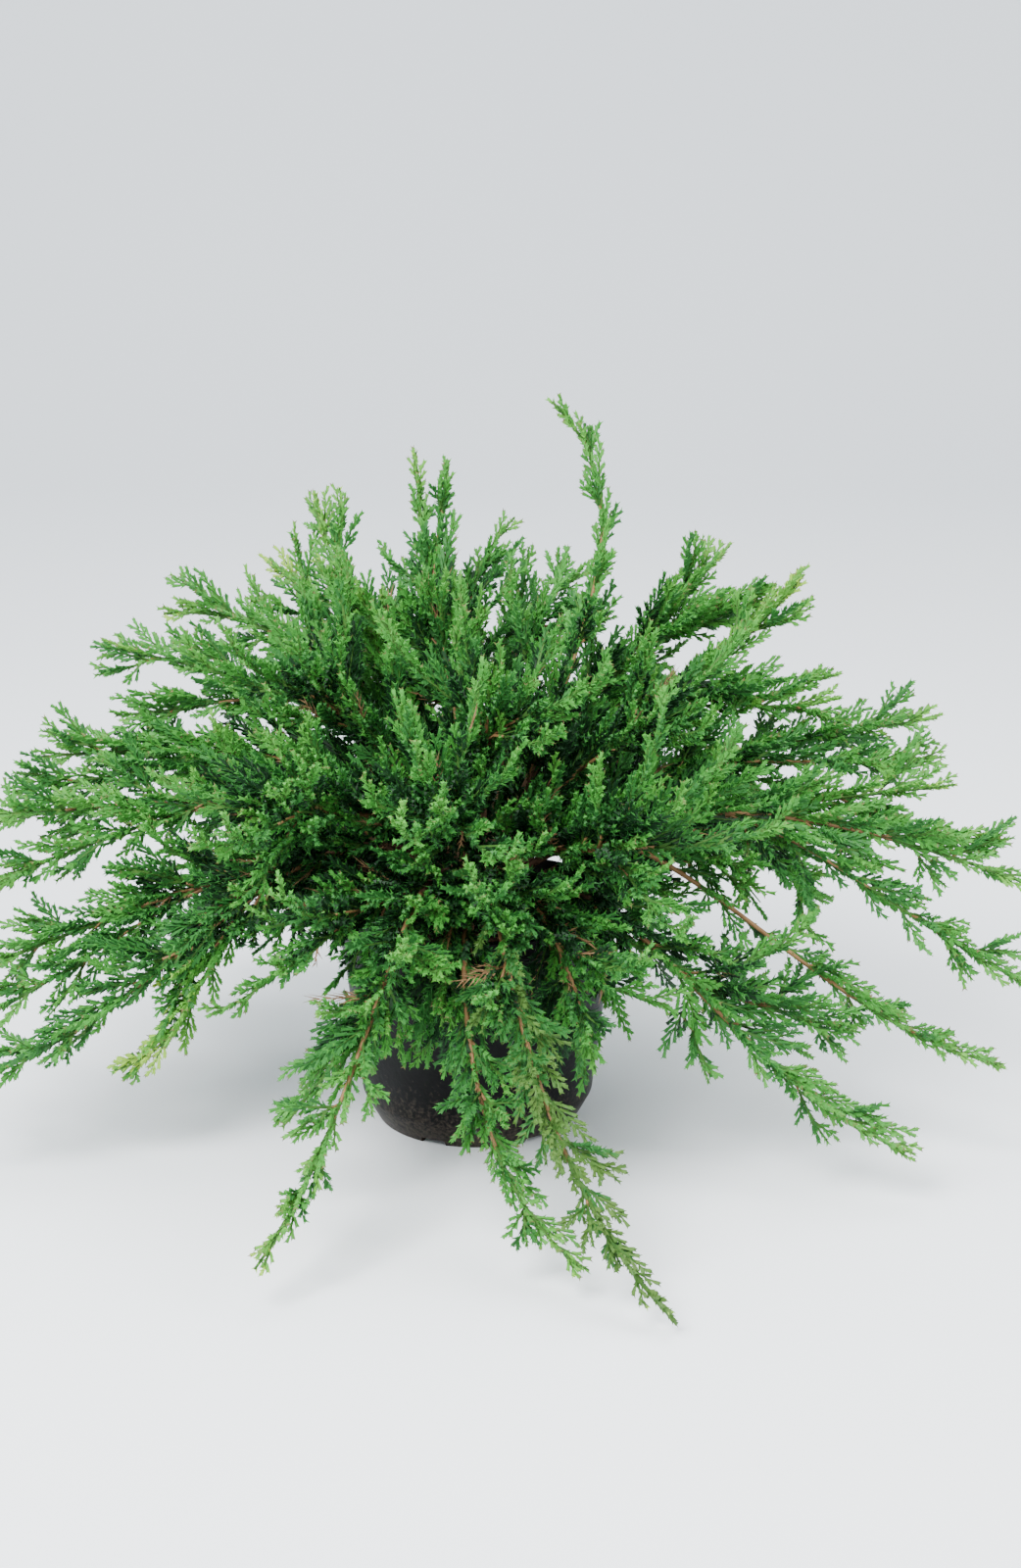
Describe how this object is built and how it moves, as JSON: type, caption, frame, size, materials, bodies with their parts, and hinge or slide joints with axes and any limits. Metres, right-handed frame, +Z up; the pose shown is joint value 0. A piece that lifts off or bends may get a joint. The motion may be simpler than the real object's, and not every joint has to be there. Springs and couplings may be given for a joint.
{
  "type": "potted creeping juniper",
  "caption": "Spreading evergreen shrub with long arching feathery shoots, growing from a short stem in a round black nursery pot that stands on its flat underside.",
  "frame": {"origin": "centre of the pot's flat underside", "axes": "+Z up, -Y towards the viewer and +X to the right, as the reference picture shows the plant"},
  "size_m": [0.7574, 0.7016, 0.4752],
  "materials": {
    "pot": "satin",
    "soil": "crumbly and moist",
    "bark": "flaking bark",
    "foliage": "waxy awl-shaped needles"
  },
  "bodies": {
    "root": {"bough_arch_left": "bark", "bough_back_left": "bark", "bough_back_mid": "bark", "bough_back_right": "bark", "bough_fan_bright": "bark", "bough_fan_right": "bark", "bough_front_green": "bark", "bough_front_left": "bark", "bough_front_long": "bark", "bough_lean_right": "bark", "bough_left_foot": "bark", "bough_left_high": "bark", "bough_left_mid": "bark", "bough_left_out": "bark", "bough_plume_left": "bark", "bough_right_arch": "bark", "bough_right_foot": "bark", "bough_right_high": "bark", "bough_right_low": "bark", "bough_right_wide": "bark", "bough_rise_left": "bark", "bough_whip": "bark", "mass_arch_left": "foliage", "mass_back_left": "foliage", "mass_back_mid": "foliage", "mass_back_right": "foliage", "mass_crown_left": "foliage", "mass_crown_right": "foliage", "mass_face_left": "foliage", "mass_face_low": "foliage", "mass_face_mid": "foliage", "mass_face_right": "foliage", "mass_face_top": "foliage", "mass_fan_bright": "foliage", "mass_fan_right": "foliage", "mass_front_drop": "foliage", "mass_front_fall": "foliage", "mass_front_green": "foliage", "mass_front_left": "foliage", "mass_front_long": "foliage", "mass_lean_right": "foliage", "mass_left_foot": "foliage", "mass_left_high": "foliage", "mass_left_mid": "foliage", "mass_left_out": "foliage", "mass_plume_left": "foliage", "mass_rear_left": "foliage", "mass_rear_right": "foliage", "mass_right_arch": "foliage", "mass_right_foot": "foliage", "mass_right_high": "foliage", "mass_right_low": "foliage", "mass_right_wide": "foliage", "mass_rise_left": "foliage", "mass_spire_mid": "foliage", "mass_twin_top": "foliage", "mass_whip": "foliage", "pot": "pot", "soil": "soil", "trunk": "bark"}
  },
  "joints": []
}
